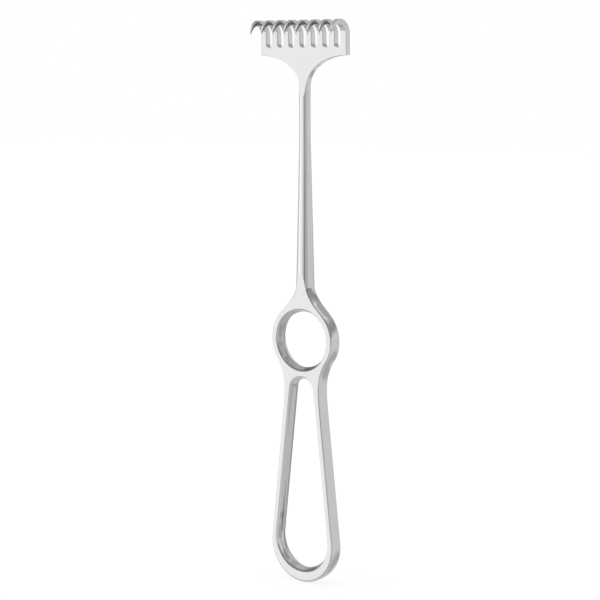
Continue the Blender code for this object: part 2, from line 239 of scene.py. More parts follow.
def tangent_angle(point, centre_z, radius):
    """Angle where the tangent from a point above touches a circle on the axis."""
    offset = Vector((point[0], point[1] - centre_z))
    return math.degrees(math.atan2(offset.y, offset.x) - math.acos(radius / offset.length))


def heights():
    """Heights that follow from the sizes."""
    handle, shaft, rake = settings().handle, settings().shaft, settings().rake
    plate = OVERALL_LENGTH - rake.height
    pitch = (2 * rake.half_width - rake.prong_width) / (rake.prongs - 1)
    slot_radius = (pitch - rake.prong_width) / 2
    return SimpleNamespace(
        arch_top=handle.ring_height - handle.hole_radius - handle.bridge,
        leg_top=handle.end_radius + handle.leg_length,
        ring_top=handle.ring_height + handle.ring_radius,
        taper_start=handle.ring_height + handle.ring_radius + shaft.taper_start,
        taper_end=plate - shaft.straight,
        plate=plate,
        neck_start=plate - shaft.neck_drop,
        plate_cut=plate - PLATE_CUT_DROP,
        pitch=pitch,
        slot_radius=slot_radius,
        slot_bottom=plate + rake.slot_floor,
        prong_root=plate + rake.slot_floor + slot_radius + rake.root_lift,
        bend=OVERALL_LENGTH - rake.bend_radius - rake.crown / 2)


def waist_blend_arc():
    """Concave arc from the waist out to the ring."""
    handle = settings().handle
    reach = handle.ring_radius + handle.waist_blend
    centre_x = handle.waist + handle.waist_blend
    drop = math.sqrt(reach ** 2 - centre_x ** 2)
    centre = (centre_x, handle.ring_height - drop)
    return arc(centre, handle.waist_blend, 180.0, math.degrees(math.atan2(drop, -centre_x)))


def handle_side():
    """Right outer edge of the handle, from the bottom to the shaft."""
    handle, shaft = settings().handle, settings().shaft
    top = (handle.waist, heights().leg_top)
    touch = tangent_angle(top, handle.end_radius, handle.end_radius)
    end = arc((0.0, handle.end_radius), handle.end_radius, -90.0, touch)
    blend = waist_blend_arc()
    legs = end + rounded_corner(end[-1], top, blend[0], handle.leg_blend) + blend
    leave = math.degrees(math.atan2(blend[-1][1] - handle.ring_height, blend[-1][0]))
    flank = math.degrees(handle.flank_angle)
    ring = arc((0.0, handle.ring_height), handle.ring_radius, leave, flank)
    side = shaft.ring_diameter / 2
    rise = (ring[-1][0] - side) * math.tan(math.radians(90.0 - flank))
    corner = (side, ring[-1][1] + rise)
    above = (side, corner[1] + handle.flank_blend)
    return legs + ring[1:] + rounded_corner(ring[-1], corner, above, handle.flank_blend)


def shoulder_side():
    """Right edge from the round shaft out to the lower corner of the plate."""
    rake, shaft = settings().rake, settings().shaft
    side = shaft.neck_diameter / 2
    angles = np.linspace(0.0, math.pi / 2, SHOULDER_POINTS)
    xs = rake.half_width - (rake.half_width - side) * np.cos(angles)
    zs = heights().plate - rake.shoulder * (1.0 - np.sin(angles))
    return list(zip(xs, zs))


def loop_opening():
    """Teardrop opening of the loop, clockwise."""
    handle = settings().handle
    low_z = handle.end_band + handle.opening_radius
    high_z = heights().arch_top - handle.arch_radius
    leg_angle = math.degrees(math.asin((handle.opening_radius - handle.arch_radius) / (high_z - low_z)))
    low = arc((0.0, low_z), handle.opening_radius, -90.0, leg_angle)
    high = arc((0.0, high_z), handle.arch_radius, leg_angle, 90.0, ARCH_STEP)
    legs = between(low[-1], high[0], LEG_POINTS)
    right = low + legs + high
    return list(reversed(right + mirrored(right)[1:-1]))


def ring_opening():
    """Round opening of the finger ring, clockwise."""
    handle = settings().handle
    circle = arc((0.0, handle.ring_height), handle.hole_radius, 0.0, 360.0, RING_STEP)
    return list(reversed(circle[:-1]))


def between(first, last, count):
    """Evenly spaced points strictly between two points."""
    shares = np.linspace(0.0, 1.0, count + 2)[1:-1]
    return [(mix(first[0], last[0], share), mix(first[1], last[1], share)) for share in shares]


def mirrored(path):
    """Mirror an outline in X and reverse its order."""
    return [(-x, z) for x, z in reversed(path)]


def clip(path, low, high):
    """Part of a rising outline between two heights, with exact ends."""
    xs, zs = np.array(path).T
    inside = [(x, z) for x, z in path if low + SAME_HEIGHT < z < high - SAME_HEIGHT]
    first = (float(np.interp(low, zs, xs)), low)
    last = (float(np.interp(high, zs, xs)), high)
    return [first] + inside + [last]


def ease(value, low, high):
    """Ease from 0 to 1 between two values."""
    share = min(1.0, max(0.0, (value - low) / (high - low)))
    return share * share * (3.0 - 2.0 * share)


def mix(first, last, share):
    """Straight blend of two numbers."""
    return first + (last - first) * share


# Cross-sections

# Points on a rounded edge and on the wall between two of them
EDGE_POINTS = 7
WALL_POINTS = 9
EVEN_SHARES = np.linspace(0.0, 1.0, 2 * EDGE_POINTS + WALL_POINTS)

# Points of the dense curve that those are picked from
DENSE_EDGE = 90
DENSE_WALL = 60
LEAST_CORE = 1e-6

# Rows across a facet of an opening, and the crease where its two facets meet
FACET_SHARES = (0.12, 0.4, 0.7, 0.93)
CREASE_INSET = 0.015
CREASE_DEPTH = 0.03
# Painted shade share along the crease where the two facets meet
CREASE_PAINTED_SHADE = 0.4

# Height over which the points gather at the edges of a flat section
SPREAD_HEIGHT = 0.004

# The neck stays round for this height, and how slowly its flats then close in
NECK_ROUND_RISE = 0.0024
NECK_FLAT_POWER = 1.6

# Cross-sections at the foot, along the shaft and at the neck
FOOT_ROWS = 34
SHAFT_ROWS = 26
NECK_ROWS = 38
SEAM_MARGIN = 0.001
SLOPE_STEP = 1e-6


def side_curve(width, half_depth, corner, slab, bulge):
    """Dense right-hand side of a cross-section, from the front crease to the back one."""
    core = half_depth - corner
    start = math.acos(min(1.0, max(0.0, (slab - core) / corner)))
    angles = np.linspace(start, math.pi / 2, DENSE_EDGE)
    front = np.stack([width - bulge - corner * (1.0 - np.sin(angles)), -core - corner * np.cos(angles)], 1)
    ys = np.linspace(-core, core, DENSE_WALL)
    wall = np.stack([width - bulge * (ys / max(core, 1e-9)) ** 2, ys], 1)
    back = front[::-1] * (1.0, -1.0)
    rows = [front, wall[1:-1], back] if core > LEAST_CORE else [front, back[1:]]
    return np.concatenate(rows)


def edge_shares(half_depth, corner):
    """Shares along the side where a square section with rounded edges has its points."""
    rounding = corner * math.pi / 2
    wall = 2 * (half_depth - corner)
    front = np.linspace(0.0, rounding, EDGE_POINTS)
    middle = rounding + np.linspace(0.0, wall, WALL_POINTS + 2)[1:-1]
    back = rounding + wall + front
    return np.concatenate([front, middle, back]) / (2 * rounding + wall)


def side_points(curve, shares):
    """Points at shares of the length of a dense curve."""
    steps = np.linalg.norm(np.diff(curve, axis=0), axis=1)
    along = np.concatenate([[0.0], np.cumsum(steps)])
    along /= along[-1]
    xs = np.interp(shares, along, curve[:, 0])
    ys = np.interp(shares, along, curve[:, 1])
    return list(zip(xs.tolist(), ys.tolist()))


def rim_profile(half_depth, corner, bulge):
    """Rows of inset, depth and two painted-shade shares, both nought, for the polished outside of a flat
    piece.
    """
    curve = side_curve(0.0, half_depth, corner, half_depth, bulge)
    return [(-x, y, 0.0, 0.0) for x, y in side_points(curve, edge_shares(half_depth, corner))]


def opening_profile(front_wall, back_edge):
    """Rim profile of an opening with two drafted facets; shares say how much shade is painted on its rims
    and walls.
    """
    handle = settings().handle
    half, edge, bulge = handle.thickness / 2, handle.edge, handle.wall_bulge
    rows = []
    for angle in np.radians(np.linspace(0.0, 90.0, EDGE_POINTS)):
        inset = bulge + edge * (1.0 - math.sin(angle))
        depth = -half + edge * (1.0 - math.cos(angle))
        # Painted shade grows over the rounding of the rim
        painted_shade = min(1.0, 3.0 * math.sin(angle))
        rows.append((inset, depth, painted_shade, painted_shade))
    for share in FACET_SHARES:
        rows.append((mix(bulge, 0.0, share), mix(-half + edge, 0.0, share), 0.0, 1.0))
    rows.append((CREASE_INSET * bulge, -CREASE_DEPTH * half, 0.0, CREASE_PAINTED_SHADE))
    front = [(inset, y, front_wall * on_wall, on_edge) for inset, y, on_edge, on_wall in rows]
    back = [(inset, -y, back_edge * on_edge, 0.0) for inset, y, on_edge, on_wall in reversed(rows)]
    return front + back


def section_row(z, side):
    """Closed row of points of a cross-section at a height, from its right-hand side."""
    right = [(x, y, z) for x, y in side]
    return right + [(-x, y, z) for x, y in reversed(side)]


def shaft_radius(z):
    """Radius of the round shaft at a height."""
    shaft, high = settings().shaft, heights()
    radii = (shaft.ring_diameter / 2, shaft.neck_diameter / 2)
    return float(np.interp(z, (high.taper_start, high.taper_end), radii))


def half_width(z, sides):
    """Half width of the shaft or neck at a height."""
    for path in sides:
        if path[0][1] <= z <= path[-1][1]:
            return float(np.interp(z, [p[1] for p in path], [p[0] for p in path]))
    return shaft_radius(z)


def lean(z, step, sides):
    """How much wider a rim looks in a level cut because the outline leans."""
    slope = (half_width(z + step, sides) - half_width(z, sides)) / step
    return math.sqrt(1.0 + slope * slope)


def widened(side, width, factor):
    """Side points with their inset from the outline multiplied."""
    return [(width - (width - x) * factor, y) for x, y in side]


def lower_section(z, width, factor):
    """Side of the shaft where the handle's flats run out on it."""
    handle, shaft, high = settings().handle, settings().shaft, heights()
    flat = handle.thickness / 2
    radius = min(shaft_radius(z), width)
    roundness = ease(z, high.ring_top, high.ring_top + shaft.flank_flat)
    apex = high.ring_top + shaft.flank_flat + shaft.ring_run_out
    free = max(0.0, min(1.0, (z - high.ring_top - shaft.flank_flat) / shaft.ring_run_out))
    slab = mix(flat, radius, free) if z < apex else radius
    half = mix(flat, radius, roundness)
    corner = mix(handle.outer_edge, radius, roundness)
    curve = side_curve(width, half, corner, min(slab, half), mix(handle.side_bulge, 0.0, roundness))
    spread = ease(z, high.ring_top, high.ring_top + SPREAD_HEIGHT)
    shares = mix(edge_shares(flat, handle.outer_edge), EVEN_SHARES, spread)
    return widened(side_points(curve, shares), width, mix(factor, 1.0, roundness))


def upper_section(z, width, factor):
    """Side of the neck where the plate's flats run out on the shaft."""
    rake, shaft, high = settings().rake, settings().shaft, heights()
    flat = rake.thickness / 2
    radius = shaft.neck_diameter / 2
    flatness = ease(z, high.neck_start + NECK_ROUND_RISE, high.plate_cut)
    rise = max(0.0, min(1.0, (z - high.neck_start) / shaft.neck_run_out))
    slab = mix(flat, radius, (1.0 - rise) ** NECK_FLAT_POWER)
    half = mix(radius, flat, flatness)
    corner = mix(radius, rake.edge, flatness)
    curve = side_curve(width, half, corner, min(slab, half), 0.0)
    gathered = ease(z, high.plate_cut - SPREAD_HEIGHT, high.plate_cut)
    shares = mix(EVEN_SHARES, edge_shares(flat, rake.edge), gathered)
    return widened(side_points(curve, shares), width, mix(1.0, factor, flatness))


def round_section(width, radius):
    """Side of the round shaft."""
    return side_points(side_curve(width, radius, radius, radius, 0.0), EVEN_SHARES)


def shaft_rows():
    """Cross-sections from the ring to the rake plate."""
    high, shaft = heights(), settings().shaft
    sides = (handle_side(), shoulder_side())
    run_out = high.ring_top + shaft.flank_flat + shaft.ring_run_out
    bottom, top = run_out + SEAM_MARGIN, high.neck_start - SEAM_MARGIN
    levels = np.concatenate([
        np.linspace(high.ring_top, bottom, FOOT_ROWS),
        np.linspace(bottom, top, SHAFT_ROWS)[1:],
        np.linspace(top, high.plate_cut, NECK_ROWS)[1:]])
    rows = []
    for z in levels:
        width = half_width(z, sides)
        if z < run_out + SEAM_MARGIN / 2:
            side = lower_section(z, width, lean(z, -SLOPE_STEP, sides))
        elif z > high.neck_start:
            side = upper_section(z, width, lean(z, SLOPE_STEP, sides))
        else:
            side = round_section(width, shaft_radius(z))
        rows.append(section_row(z, side))
    return rows


# Meshes

# Sine of the angle up to which two edges count as one straight line
STRAIGHT = 0.02
WELD_DISTANCE = 2e-5
SHARP_ANGLE = 38.0

# Rows of a prong below its bend and round it, and how its section shrinks
ROOT_ROWS = 4
BEND_ROWS = 49
POINT_POWER = 0.8
EDGE_SHARE = 0.8

# How far an opening's wall faces up where the painted shade on its low part sets in
LOW_WALL = (0.4, 0.95)

# Painted shade of a prong: across its sides that face its neighbours, past its crown and at its point.
# The fades are counted in points across a side, or in shares of the bend.
SIDE_PAINTED_SHADE = 0.3
SIDE_FADE = (9, 15)
BEND_PAINTED_SHADE = 0.9
BEND_FADE = (0.5, 0.75)
ROOT_FADE = (0.05, 0.3)
POINT_PAINTED_SHADE = 0.8
POINT_FADE = (0.88, 0.95)


def inset_vectors(loop, flat_edges):
    """Inward vector of each outline point for an inset of one; flat edges keep their line."""
    count = len(loop)
    points = [Vector(p) for p in loop]
    vectors = []
    for index in range(count):
        before, here, after = points[index - 1], points[index], points[(index + 1) % count]
        first, second = (here - before).normalized(), (after - here).normalized()
        first_inset = 0.0 if (index - 1) % count in flat_edges else 1.0
        second_inset = 0.0 if index in flat_edges else 1.0
        vectors.append(miter(first, second, first_inset, second_inset))
    return vectors


def miter(first, second, first_inset, second_inset):
    """The vector that lies the given distances inside two edges."""
    normal_a, normal_b = Vector((-first.y, first.x)), Vector((-second.y, second.x))
    cross = normal_a.cross(normal_b)
    if abs(cross) < STRAIGHT:
        return (normal_a + normal_b).normalized() * max(first_inset, second_inset)
    x = (first_inset * normal_b.y - second_inset * normal_a.y) / cross
    y = (second_inset * normal_a.x - first_inset * normal_b.x) / cross
    return Vector((x, y))


def add_rim(bm, loop, flat_edges, open_edges, profile):
    """Add the rim of an outline, without faces on its open edges; return its front and back edges."""
    vectors = inset_vectors(loop, flat_edges | open_edges)
    layer = painted_shade_layer(bm)
    rows = []
    for inset, y, everywhere, low in profile:
        row = []
        for (x, z), vector in zip(loop, vectors):
            vertex = bm.verts.new((x + vector.x * inset, y, z + vector.y * inset))
            # Painted shade share: all along the row, or only on the low wall that faces up
            vertex[layer] = max(everywhere, low * ease(-vector.y, *LOW_WALL))
            row.append(vertex)
        rows.append(row)
    count = len(loop)
    for upper, lower in zip(rows, rows[1:]):
        for index in range(count):
            if index not in open_edges:
                following = (index + 1) % count
                bm.faces.new((upper[index], upper[following], lower[following], lower[index]))
    return closed_edges(bm, rows[0]), closed_edges(bm, rows[-1])


def painted_shade_layer(bm):
    """The vertex layer that says how much shade is painted on a place."""
    return bm.verts.layers.float.get("painted_shade") or bm.verts.layers.float.new("painted_shade")


def closed_edges(bm, row):
    """Edges around a closed row of vertices."""
    return [bm.edges.get(pair) or bm.edges.new(pair) for pair in zip(row, row[1:] + row[:1])]


def add_flat_piece(bm, rims):
    """Add rims and the flat faces that join them in front and behind."""
    front, back = [], []
    for rim in rims:
        front_edges, back_edges = add_rim(bm, *rim)
        front += front_edges
        back += back_edges
    bmesh.ops.triangle_fill(bm, use_beauty=True, use_dissolve=False, edges=front)
    bmesh.ops.triangle_fill(bm, use_beauty=True, use_dissolve=False, edges=back)


def add_loft(bm, rows, caps):
    """Add a tube of quads through rows of equally many points, closed at its ends where asked."""
    rings = [[bm.verts.new(point) for point in row] for row in rows]
    count = len(rings[0])
    for lower, upper in zip(rings, rings[1:]):
        for index in range(count):
            following = (index + 1) % count
            bm.faces.new((lower[index], lower[following], upper[following], upper[index]))
    if caps:
        bm.faces.new(reversed(rings[0]))
        bm.faces.new(rings[-1])


def add_handle(bm):
    """Add the loop and the ring up to the foot of the shaft."""
    handle, high = settings().handle, heights()
    right = clip(handle_side(), handle_side()[1][1], high.ring_top)
    outline = [(0.0, 0.0)] + right + mirrored(right)
    outer = rim_profile(handle.thickness / 2, handle.outer_edge, handle.side_bulge)
    add_flat_piece(bm, [
        (outline, set(), {len(right)}, outer),
        # Painted shade: on the ring's front facet, the low front rims of both openings and the whole back
        # rim of the loop
        (ring_opening(), set(), set(), opening_profile(0.24, 0.0)),
        (loop_opening(), set(), set(), opening_profile(0.0, 1.0))])


def add_plate(bm):
    """Add the rake plate with its slots, up to the roots of the prongs."""
    rake, high = settings().rake, heights()
    right = clip(shoulder_side(), high.plate_cut, high.plate)
    outline, teeth = list(right), set()
    side = rake.prong_width / 2
    for centre in reversed(prong_centres()):
        teeth.add(len(outline))
        outline += [(centre + side, high.prong_root), (centre - side, high.prong_root)]
        if centre > prong_centres()[0]:
            slot = (centre - high.pitch / 2, high.slot_bottom + high.slot_radius)
            outline += arc(slot, high.slot_radius, 0.0, -180.0, SLOT_STEP)
    outline += mirrored(right)
    profile = rim_profile(rake.thickness / 2, rake.edge, 0.0)
    add_flat_piece(bm, [(outline, teeth, {len(outline) - 1}, profile)])


def prong_centres():
    """X positions of the prongs from left to right."""
    rake = settings().rake
    first = -rake.half_width + rake.prong_width / 2
    return [first + index * heights().pitch for index in range(rake.prongs)]


def prong_row(share):
    """Cross-section of a prong at a share of its bend, 0 at the root and 1 at the tip."""
    rake, high = settings().rake, heights()
    swing = rake.bend_angle * share
    taper = share ** rake.taper
    half_across = mix(rake.prong_width, rake.tip, taper) / 2
    full = mix(rake.thickness, rake.crown, min(1.0, 2 * share))
    half_through = mix(rake.tip, full, min(1.0, 2.0 - 2 * share) ** POINT_POWER) / 2
    corner = min(rake.edge, EDGE_SHARE * half_across, EDGE_SHARE * half_through)
    curve = side_curve(half_across, half_through, corner, half_through, 0.0)
    side = side_points(curve, edge_shares(half_through, corner))
    outward = Vector((0.0, math.cos(swing), math.sin(swing)))
    centre = Vector((0.0, -rake.bend_radius, high.bend)) + outward * rake.bend_radius
    around = side + [(-x, y) for x, y in reversed(side)]
    return [centre + Vector((x, 0.0, 0.0)) + outward * y for x, y in around]


def paint_prong_shade(bm, count, left, right):
    """Mark the painted shade on a prong's point, and on its left and right sides where they face another
    prong.
    """
    layer = painted_shade_layer(bm)
    rows = len(bm.verts) // count
    half = count // 2
    for index, vertex in enumerate(bm.verts):
        row, place = divmod(index, count)
        share = max(0.0, (row - ROOT_ROWS) / (rows - ROOT_ROWS - 1))
        side = place % half
        on_side = EDGE_POINTS - 3 < side < half - EDGE_POINTS + 2
        kept = right if place < half else left
        depth = side if place < half else half - 1 - side
        inside = mix(SIDE_PAINTED_SHADE, 0.0, ease(depth, *SIDE_FADE))
        side_shade = mix(inside, BEND_PAINTED_SHADE, ease(share, *BEND_FADE)) * ease(share, *ROOT_FADE)
        # Painted shade share of the vertex: sides facing a neighbour, past the crown, and at the point
        vertex[layer] = max(side_shade * kept * on_side, POINT_PAINTED_SHADE * ease(share, *POINT_FADE))


def prong_rows():
    """Cross-sections of a prong from its root to its tip."""
    high = heights()
    foot = prong_row(0.0)
    levels = np.linspace(high.prong_root, high.bend, ROOT_ROWS + 1)[:-1]
    straight = [[point + Vector((0.0, 0.0, z - high.bend)) for point in foot] for z in levels]
    return straight + [prong_row(share) for share in np.linspace(0.0, 1.0, BEND_ROWS)]


def add_object(name, bm):
    """Turn a mesh into a linked object."""
    mesh = bpy.data.meshes.new(name)
    bm.to_mesh(mesh)
    bm.free()
    item = bpy.data.objects.new(name, mesh)
    bpy.context.collection.objects.link(item)
    return item


def make_piece(name, bm, nodes):
    """Turn a mesh into a piece of the instrument that stands for CAD nodes."""
    bmesh.ops.remove_doubles(bm, verts=bm.verts, dist=WELD_DISTANCE)
    bmesh.ops.recalc_face_normals(bm, faces=bm.faces)
    open_edges = [edge for edge in bm.edges if len(edge.link_faces) != 2]
    if open_edges:
        raise RuntimeError(f"{name} is not closed: {len(open_edges)} open edges")
    bmesh.ops.translate(bm, verts=bm.verts, vec=(0.0, MID_PLANE, 0.0))
    piece = add_object(name, bm)
    piece.data.shade_smooth()
    piece.data.set_sharp_from_angle(angle=math.radians(SHARP_ANGLE))
    normals = piece.modifiers.new("flat_faces", "WEIGHTED_NORMAL")
    normals.keep_sharp = True
    normals.weight = 50
    piece.data.materials.append(satin_steel())
    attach(piece, "root")
    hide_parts(*nodes)


# Materials

class Socket:
    """A shader socket that does arithmetic with numbers and other sockets."""

    def __init__(self, shader, socket):
        self.shader = shader
        self.socket = socket

    def maths(self, operation, *others):
        """Add a Math node whose first value is this socket."""
        return self.shader.maths(operation, self, *others)

    def sister(self, name):
        """Another output of the socket's node."""
        return Socket(self.shader, self.socket.node.outputs[name])

    def __add__(self, other):
        return self.maths("ADD", other)

    __radd__ = __add__

    def __sub__(self, other):
        return self.maths("SUBTRACT", other)

    def __rsub__(self, other):
        return self.shader.maths("SUBTRACT", other, self)

    def __mul__(self, other):
        return self.maths("MULTIPLY", other)

    __rmul__ = __mul__


class Shader:
    """Builds the nodes of one material or world."""

    def __init__(self, owner):
        owner.use_nodes = True
        self.tree = owner.node_tree
        self.tree.nodes.clear()

    def node(self, kind, options=None, inputs=None, output=0):
        """Add a node with its settings and the values or links of its sockets."""
        node = self.tree.nodes.new(kind)
        for name, value in (options or {}).items():
            setattr(node, name, value)
        for name, value in (inputs or {}).items():
            if isinstance(value, Socket):
                self.tree.links.new(value.socket, node.inputs[name])
            else:
                node.inputs[name].default_value = value
        return Socket(self, node.outputs[output]) if len(node.outputs) else node

    def maths(self, operation, *values):
        """Add a Math node."""
        return self.node("ShaderNodeMath", {"operation": operation}, dict(enumerate(values)))

    def blend(self, share, first, last):
        """Mix two colours."""
        inputs = {"Factor": share, "A": with_alpha(first), "B": with_alpha(last)}
        return self.node("ShaderNodeMix", {"data_type": "RGBA"}, inputs, output=2)

    def smooth(self, value, low, high):
        """Ease from 0 to 1 between two values."""
        inputs = {"Value": value, "From Min": low, "From Max": high}
        return self.node("ShaderNodeMapRange", {"interpolation_type": "SMOOTHSTEP"}, inputs)


def with_alpha(value):
    """A colour with its alpha, or a socket as it is."""
    return value if isinstance(value, Socket) else (*value, 1.0)


def shaded(colour, share):
    """A colour made darker."""
    return tuple(share * value for value in colour)


# Brush marks run along the instrument and show only on faces square to its front
MARK_STRETCH = 0.06
MARK_ROUGHNESS = 0.04
BUMP_STRENGTH = 0.25
SQUARE_FACE = (0.97, 0.998)

# Broad unevenness of the finish, and the roughness added where shade is painted
UNEVEN_SCALE = 140.0
UNEVEN_ROUGHNESS = 0.05
UNEVEN_SHADE = 0.985
UNEVEN_RANGE = (0.3, 0.7)
PAINTED_SHADE_ROUGHNESS = 0.15


def brush_marks(shader, finish):
    """Fine marks along the instrument, broad unevenness, and 1 on the flat faces."""
    place = shader.node("ShaderNodeTexCoord", output="Object")
    along = shader.node("ShaderNodeMapping", None, {"Vector": place, "Scale": (1.0, 1.0, MARK_STRETCH)})
    fine_inputs = {"Vector": along, "Scale": 1.0 / finish.grain, "Detail": 2.0}
    fine = shader.node("ShaderNodeTexNoise", None, fine_inputs)
    broad_inputs = {"Vector": place, "Scale": UNEVEN_SCALE, "Detail": 3.0}
    broad = shader.node("ShaderNodeTexNoise", None, broad_inputs)
    facing = shader.node("ShaderNodeTexCoord", output="Normal")
    across = shader.node("ShaderNodeSeparateXYZ", None, {0: facing}, output="Y")
    face = shader.smooth(across.maths("ABSOLUTE"), *SQUARE_FACE)
    return fine, broad, face


def satin_steel():
    """Satin stainless steel: brushed faces, polished walls, and places darkened with painted shade."""
    found = bpy.data.materials.get("satin_steel_finish")
    if found:
        return found
    finish = settings().finish
    material = bpy.data.materials.new("satin_steel_finish")
    shader = Shader(material)
    fine, broad, face = brush_marks(shader, finish)
    # Painted shade: where this vertex attribute is set, the base colour darkens to stand in for shade and
    # dark reflections
    painted_shade = shader.node("ShaderNodeAttribute", {"attribute_name": "painted_shade"}, output="Fac")
    tone = shader.smooth(broad, *UNEVEN_RANGE)
    satin = shader.blend(tone, shaded(finish.colour, UNEVEN_SHADE), finish.colour)
    colour = shader.blend(painted_shade, satin, shaded(finish.colour, finish.painted_shade_level))
    satin_share = finish.roughness - finish.wall_roughness
    uneven = (fine - 0.5) * MARK_ROUGHNESS + (broad - 0.5) * UNEVEN_ROUGHNESS
    rough = finish.wall_roughness + satin_share * face + uneven * face + PAINTED_SHADE_ROUGHNESS * painted_shade
    marks = {"Height": fine * face, "Distance": finish.grain_depth, "Strength": BUMP_STRENGTH}
    bump = shader.node("ShaderNodeBump", None, marks)
    surface = {"Base Color": colour, "Metallic": 1.0, "Roughness": rough, "Normal": bump}
    steel = shader.node("ShaderNodeBsdfPrincipled", None, surface)
    shader.node("ShaderNodeOutputMaterial", None, {"Surface": steel})
    return material


# Studio

WHITE = (1.0, 1.0, 1.0, 1.0)
ROOM_GLOW = 0.9
FLOOR_WHITE = 0.85
FLOOR_SIZE = 3.0
TENT_RADIUS = 1.6


def white_rays(shader):
    """Share of rays that show the white background: camera, glossy and transmission rays."""
    camera = shader.node("ShaderNodeLightPath")
    rays = camera + camera.sister("Is Glossy Ray") + camera.sister("Is Transmission Ray")
    return rays.maths("MINIMUM", 1.0)


def floor_material():
    """Pale floor that shows white and keeps the object's shadow."""
    material = bpy.data.materials.new("pale_floor")
    shader = Shader(material)
    matte = shader.node("ShaderNodeBsdfDiffuse", None, {"Color": (*settings().studio.floor, 1.0)})
    white = shader.node("ShaderNodeEmission", None, {"Color": WHITE, "Strength": 1.0})
    share = white_rays(shader) * FLOOR_WHITE
    surface = shader.node("ShaderNodeMixShader", None, {0: share, 1: matte, 2: white})
    shader.node("ShaderNodeOutputMaterial", None, {"Surface": surface})
    return material


TENT_GREY = 0.58
PANELS = (
    # azimuth, elevation, half width, half height, softness in degrees, brightness
    (0, 90, 180, 18, 24, 0.42),
    (-121, 3, 18, 24, 12, 0.38),
    (-86, -2, 14, 34, 12, 0.84),
    (-6, -4, 16, 26, 16, 0.78),
    (0, 12, 18, 12, 12, 0.80),
    (-41, 12, 29, 39, 10, 1.03),
    (-57, 2, 8, 26, 8, 1.36),
    (-8, -31, 16, 10, 8, 0.36),
    (42, 0, 32, 16, 20, 0.48),
    (24, -4, 8, 6, 8, 0.26),
    (100, -26, 36, 7, 10, 0.70),
    (115, -10, 48, 18, 14, 0.68),
    (143, 1, 8, 4, 6, 0.74),
    (72, 15, 42, 10, 10, 0.40),
    (66, 13, 38, 7, 8, 0.25),
    (112, 11, 18, 6, 6, 0.42),
    (24, 27, 30, 9, 12, 0.05),
    (85, 36, 45, 12, 12, 0.34),
    (128, 22, 42, 10, 10, 0.33),
    (140, 60, 30, 10, 14, 0.66),
    (151, 46, 10, 6, 8, 0.95),
    (170, 36, 14, 12, 10, 0.44),
    (163, -38, 20, 14, 12, 0.45),
    (-176, -36, 8, 6, 8, 0.74),
    (-150, -30, 14, 11, 10, 0.74),
    (-146, 10, 16, 9, 8, 0.70),
    (-112, 50, 34, 12, 10, 0.50),
    (-128, 22, 10, 18, 8, 0.20),
    (186, -13, 14, 9, 8, 0.36),
)


def tent_direction(shader):
    """Azimuth and elevation in degrees of a place on the tent, seen from the instrument."""
    place = shader.node("ShaderNodeNewGeometry")
    centre = (0.0, 0.0, settings().studio.look_z)
    offset = shader.node("ShaderNodeVectorMath", {"operation": "SUBTRACT"}, {0: place, 1: centre})
    direction = shader.node("ShaderNodeVectorMath", {"operation": "NORMALIZE"}, {0: offset})
    right = shader.node("ShaderNodeSeparateXYZ", None, {0: direction})
    front, up = 0.0 - right.sister("Y"), right.sister("Z")
    degrees = 180.0 / math.pi
    return right.maths("ARCTAN2", front) * degrees, up.maths("ARCSINE") * degrees


def tent_material():
    """Graded panels of the light tent: brightness by direction from the object."""
    material = bpy.data.materials.new("tent_panels")
    shader = Shader(material)
    azimuth, elevation = tent_direction(shader)
    light = TENT_GREY
    for panel_azimuth, panel_elevation, half_width, half_height, softness, level in PANELS:
        soft = softness / 2
        aside = (azimuth - panel_azimuth).maths("WRAP", 180.0, -180.0)
        above = elevation - panel_elevation
        beside = shader.smooth(half_width - aside.maths("ABSOLUTE"), -soft, soft)
        over = shader.smooth(half_height - above.maths("ABSOLUTE"), -soft, soft)
        share = beside * over
        light = share * level + (1.0 - share) * light
    glow = shader.node("ShaderNodeEmission", None, {"Color": WHITE, "Strength": light})
    shader.node("ShaderNodeOutputMaterial", None, {"Surface": glow})
    return material


def direction_to(azimuth, elevation):
    """Unit vector towards an azimuth and elevation in degrees; azimuth 0 is the front, 90 the right."""
    a, e = math.radians(azimuth), math.radians(elevation)
    return Vector((math.sin(a) * math.cos(e), -math.cos(a) * math.cos(e), math.sin(e)))


def make_world():
    """White surroundings."""
    world = bpy.data.worlds.new("white_room")
    bpy.context.scene.world = world
    shader = Shader(world)
    strength = ROOM_GLOW + (1.0 - ROOM_GLOW) * white_rays(shader)
    background = shader.node("ShaderNodeBackground", None, {"Color": WHITE, "Strength": strength})
    shader.node("ShaderNodeOutputWorld", None, {"Surface": background})


def make_floor():
    """Pale floor under the instrument."""
    bm = bmesh.new()
    bmesh.ops.create_grid(bm, x_segments=2, y_segments=2, size=FLOOR_SIZE)
    floor = add_object("floor", bm)
    floor.data.materials.append(floor_material())
    floor.visible_glossy = False


def make_tent():
    """Light tent of graded panels round the instrument, seen only in reflections."""
    bm = bmesh.new()
    bmesh.ops.create_icosphere(bm, subdivisions=4, radius=TENT_RADIUS)
    bmesh.ops.reverse_faces(bm, faces=bm.faces)
    bmesh.ops.translate(bm, verts=bm.verts, vec=(0.0, 0.0, settings().studio.look_z))
    tent = add_object("light_tent", bm)
    tent.data.materials.append(tent_material())
    tent.visible_camera = False
    tent.visible_diffuse = False
    tent.visible_shadow = False
    tent.visible_transmission = False


def make_sun(name, azimuth, elevation, spread, strength):
    """Wide soft light from one side, which gives the floor its faint shadow."""
    data = bpy.data.lights.new(name, "SUN")
    data.angle = math.radians(spread)
    data.energy = strength
    sun = bpy.data.objects.new(name, data)
    bpy.context.collection.objects.link(sun)
    sun.rotation_mode = "QUATERNION"
    sun.rotation_quaternion = (-direction_to(azimuth, elevation)).to_track_quat("-Z", "Y")
    sun.visible_glossy = False


